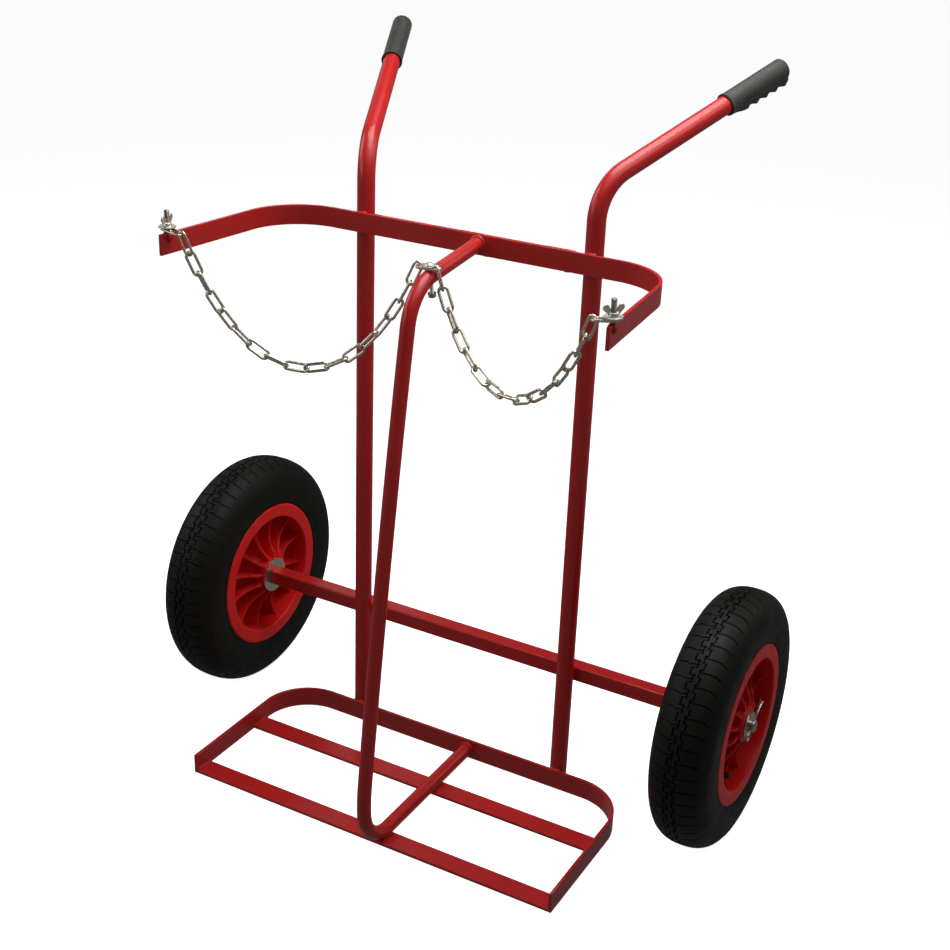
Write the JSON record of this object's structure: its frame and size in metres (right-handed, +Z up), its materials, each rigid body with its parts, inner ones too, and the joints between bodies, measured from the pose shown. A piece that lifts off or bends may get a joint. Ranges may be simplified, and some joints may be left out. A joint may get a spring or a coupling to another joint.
{
  "type": "gas cylinder cart",
  "caption": "Two-wheel upright cart with side by side bays for oxygen and acetylene cylinders, restraint chains, pneumatic wheels and splayed handles.",
  "frame": {"origin": "middle of the cart's footprint box, on the floor", "axes": "+X to the cart's right as seen from the open front, +Y towards the handles and axle, +Z up"},
  "size_m": [0.984, 0.6614, 1.121],
  "materials": {
    "frame_paint": "gloss red enamel",
    "rim_plastic": "satin gloss moulded red plastic",
    "tyre_rubber": "matte black rubber",
    "tube_rubber": "matte black rubber",
    "grip_rubber": "satin dark grey-green rubber",
    "zinc_plate": "bright zinc plate",
    "axle_steel": "plain turned steel",
    "bush_nylon": "natural nylon",
    "cap_plastic": "matte black plastic"
  },
  "bodies": {
    "frame": {"left_upright": "frame_paint", "right_upright": "frame_paint", "left_grip": "grip_rubber", "right_grip": "grip_rubber", "top_hoop": "frame_paint", "hoop_strap": "frame_paint", "divider_tube": "frame_paint", "base_frame": "frame_paint", "base_front_bar": "frame_paint", "base_middle_bar": "frame_paint", "axle_beam": "frame_paint", "axle_rod": "axle_steel", "left_inner_washer": "zinc_plate", "right_inner_washer": "zinc_plate", "left_outer_washer": "zinc_plate", "right_outer_washer": "zinc_plate", "left_split_pin": "zinc_plate", "right_split_pin": "zinc_plate", "left_stud": "zinc_plate", "right_stud": "zinc_plate", "left_chain_end_link": "zinc_plate", "right_chain_end_link": "zinc_plate", "chain_centre_link": "zinc_plate", "centre_bolt": "zinc_plate", "centre_bolt_washer": "zinc_plate", "centre_bolt_nut": "zinc_plate"},
    "left_wheel": {"left_rim": "rim_plastic", "left_tyre": "tyre_rubber", "left_inner_tube": "tube_rubber", "left_hub_tube": "axle_steel", "left_hub_bushes": "bush_nylon", "left_valve_stem": "tube_rubber", "left_valve_cap": "cap_plastic"},
    "right_wheel": {"right_rim": "rim_plastic", "right_tyre": "tyre_rubber", "right_inner_tube": "tube_rubber", "right_hub_tube": "axle_steel", "right_hub_bushes": "bush_nylon", "right_valve_stem": "tube_rubber", "right_valve_cap": "cap_plastic"},
    "left_chain_drape": {"left_chain": "zinc_plate"},
    "right_chain_drape": {"right_chain": "zinc_plate"},
    "left_washer": {"left_stud_washer": "zinc_plate"},
    "right_washer": {"right_stud_washer": "zinc_plate"},
    "left_nut": {"left_wing_nut": "zinc_plate"},
    "right_nut": {"right_wing_nut": "zinc_plate"}
  },
  "joints": [
    {"name": "left_wheel_spin", "type": "hinge", "parent": "frame", "child": "left_wheel", "pos_m": [-0.439, 0.03281, 0.2], "axis": [1, 0, 0], "continuous": true},
    {"name": "right_wheel_spin", "type": "hinge", "parent": "frame", "child": "right_wheel", "pos_m": [0.439, 0.03281, 0.2], "axis": [1, 0, 0], "continuous": true},
    {"name": "left_chain_swing", "type": "hinge", "parent": "frame", "child": "left_chain_drape", "pos_m": [-0.3146, -0.26544, 0.88626], "axis": [0.9295, 0.3649, -0.0538], "range_deg": [-15, 15]},
    {"name": "right_chain_swing", "type": "hinge", "parent": "frame", "child": "right_chain_drape", "pos_m": [0.0255, -0.14524, 0.8693], "axis": [0.923, -0.3811, 0.0532], "range_deg": [-15, 15]},
    {"name": "left_washer_lift", "type": "slide", "parent": "frame", "child": "left_washer", "axis": [0, 0, 1], "range_m": [0, 0.0176]},
    {"name": "left_wing_nut_turn", "type": "hinge", "parent": "left_washer", "child": "left_nut", "pos_m": [-0.33913, -0.26415, 0.895], "axis": [0, 0, 1], "range_deg": [0, 5040]},
    {"name": "right_washer_lift", "type": "slide", "parent": "frame", "child": "right_washer", "axis": [0, 0, 1], "range_m": [0, 0.0176]},
    {"name": "right_wing_nut_turn", "type": "hinge", "parent": "right_washer", "child": "right_nut", "pos_m": [0.33913, -0.26415, 0.895], "axis": [0, 0, 1], "range_deg": [0, 5040]}
  ],
  "couplings": [
    {"joint": "left_washer_lift", "follows": "left_wing_nut_turn", "m_per_rad": 0.00019894},
    {"joint": "right_washer_lift", "follows": "right_wing_nut_turn", "m_per_rad": 0.00019894}
  ]
}
